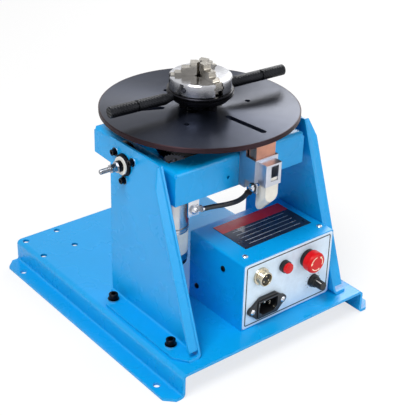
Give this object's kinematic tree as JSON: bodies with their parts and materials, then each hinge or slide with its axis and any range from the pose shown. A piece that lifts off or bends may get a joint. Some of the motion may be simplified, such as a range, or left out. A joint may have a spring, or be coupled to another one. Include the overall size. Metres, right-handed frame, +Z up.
{
  "type": "welding positioner",
  "caption": "Bench welding positioner: a motor-driven round table with a scroll chuck, on a tilting frame between two uprights, with a control box on the base.",
  "frame": {"origin": "middle of the base's footprint, on the bench face", "axes": "+Z up, the control panel faces -Y, the tilt axis runs along X"},
  "size_m": [0.274, 0.305, 0.2684],
  "materials": {
    "blue_paint": "satin powder coat",
    "steel": "machined",
    "black_steel": "blackened, oiled",
    "table_steel": "turned, darkened",
    "chrome": "polished",
    "aluminium": "satin",
    "black_plastic": "moulded",
    "white_plastic": "moulded",
    "bronze": "sintered",
    "copper": "machined",
    "panel_film": "printed film",
    "red_plastic": "glossy",
    "cable_rubber": "matte sleeve",
    "board": "epoxy board"
  },
  "bodies": {
    "stand": {"base_plate": "blue_paint", "left_upright": "blue_paint", "right_upright": "blue_paint", "upright_foot_fasteners": "black_steel", "pivot_housings": "black_steel", "pivot_bushes": "bronze", "pivot_housing_fasteners": "black_steel", "box_chassis": "blue_paint", "box_cover": "blue_paint", "box_screws": "steel", "panel_overlay": "panel_film", "nameplate": "black_plastic", "foot_switch_socket": "steel", "socket_insert": "black_plastic", "mains_inlet": "black_plastic", "lamp_bezel": "black_plastic", "lamp_lens": "red_plastic", "estop_collar": "black_plastic", "speed_control": "steel", "power_supply": "aluminium", "control_board": "board"},
    "tilting_body": {"trunnions": "steel", "trunnion_washers": "white_plastic", "trunnion_nuts": "steel", "tilt_frame": "blue_paint", "drive_plate": "blue_paint", "drive_plate_screws": "black_steel", "gearbox": "steel", "motor_can": "steel", "motor_end_cap": "black_plastic", "spindle_housing": "steel", "spindle_bearings": "steel", "brush_bracket": "aluminium", "brush_holder": "aluminium", "brush_clip": "aluminium", "brush_finger": "white_plastic", "brush_springs": "steel", "ground_bracket": "steel", "ground_lugs": "steel", "ground_cable": "cable_rubber", "brush_screws": "steel"},
    "turning_body": {"spindle": "steel", "spindle_collar": "steel", "spindle_gear": "black_steel", "turntable": "table_steel", "turntable_screws": "black_steel", "chuck_pedestal": "black_steel", "chuck_studs_and_nuts": "black_steel", "chuck_back_plate": "black_steel", "chuck_body": "chrome"},
    "pinion": {"motor_pinion": "steel"},
    "scroll": {"scroll_ring": "black_steel", "tommy_bars": "black_steel"},
    "jaw_1": {"chuck_jaw_1": "steel"},
    "jaw_2": {"chuck_jaw_2": "steel"},
    "jaw_3": {"chuck_jaw_3": "steel"},
    "brush": {"copper_brush": "copper"},
    "lock_lever": {"tilt_lock_lever": "black_plastic"},
    "stop_button": {"estop_button": "red_plastic"},
    "knob": {"speed_knob": "black_plastic"}
  },
  "joints": [
    {"name": "frame_tilt", "type": "hinge", "parent": "stand", "child": "tilting_body", "pos_m": [0, -0.019, 0.1835], "axis": [-1, 0, 0], "range_deg": [0, 90]},
    {"name": "table_spin", "type": "hinge", "parent": "tilting_body", "child": "turning_body", "pos_m": [0, -0.019, 0.2], "axis": [0, 0, 1], "continuous": true},
    {"name": "pinion_spin", "type": "hinge", "parent": "tilting_body", "child": "pinion", "pos_m": [-0.04811, -0.04123, 0.181], "axis": [0, 0, 1], "continuous": true},
    {"name": "scroll_turn", "type": "hinge", "parent": "turning_body", "child": "scroll", "pos_m": [0, -0.019, 0.239], "axis": [0, 0, -1], "range_deg": [0, 720]},
    {"name": "jaw_1_slide", "type": "slide", "parent": "turning_body", "child": "jaw_1", "axis": [-0.0523, -0.9986, 0], "range_m": [0, 0.0081]},
    {"name": "jaw_2_slide", "type": "slide", "parent": "turning_body", "child": "jaw_2", "axis": [0.891, 0.454, 0], "range_m": [0, 0.0081]},
    {"name": "jaw_3_slide", "type": "slide", "parent": "turning_body", "child": "jaw_3", "axis": [-0.8387, 0.5446, 0], "range_m": [0, 0.0081]},
    {"name": "brush_slide", "type": "slide", "parent": "tilting_body", "child": "brush", "axis": [0, 0, 1], "range_m": [-0.005, 0], "stiffness_N_per_m": 300, "springref_m": 0.01, "deforming": ["brush_springs"]},
    {"name": "lock_lever_turn", "type": "hinge", "parent": "tilting_body", "child": "lock_lever", "pos_m": [0.106, -0.019, 0.1835], "axis": [1, 0, 0], "range_deg": [0, 60]},
    {"name": "stop_button_press", "type": "slide", "parent": "stand", "child": "stop_button", "axis": [0, 1, 0], "range_m": [0, 0.0035], "stiffness_N_per_m": 1500, "springref_m": -0.001},
    {"name": "speed_knob_turn", "type": "hinge", "parent": "stand", "child": "knob", "pos_m": [0.0638, -0.138, 0.0512], "axis": [0, 1, 0], "range_deg": [0, 270]}
  ],
  "couplings": [
    {"joint": "pinion_spin", "follows": "table_spin", "ratio": -4.3},
    {"joint": "jaw_1_slide", "follows": "scroll_turn", "m_per_rad": 0.00063662},
    {"joint": "jaw_2_slide", "follows": "scroll_turn", "m_per_rad": 0.00063662},
    {"joint": "jaw_3_slide", "follows": "scroll_turn", "m_per_rad": 0.00063662}
  ]
}
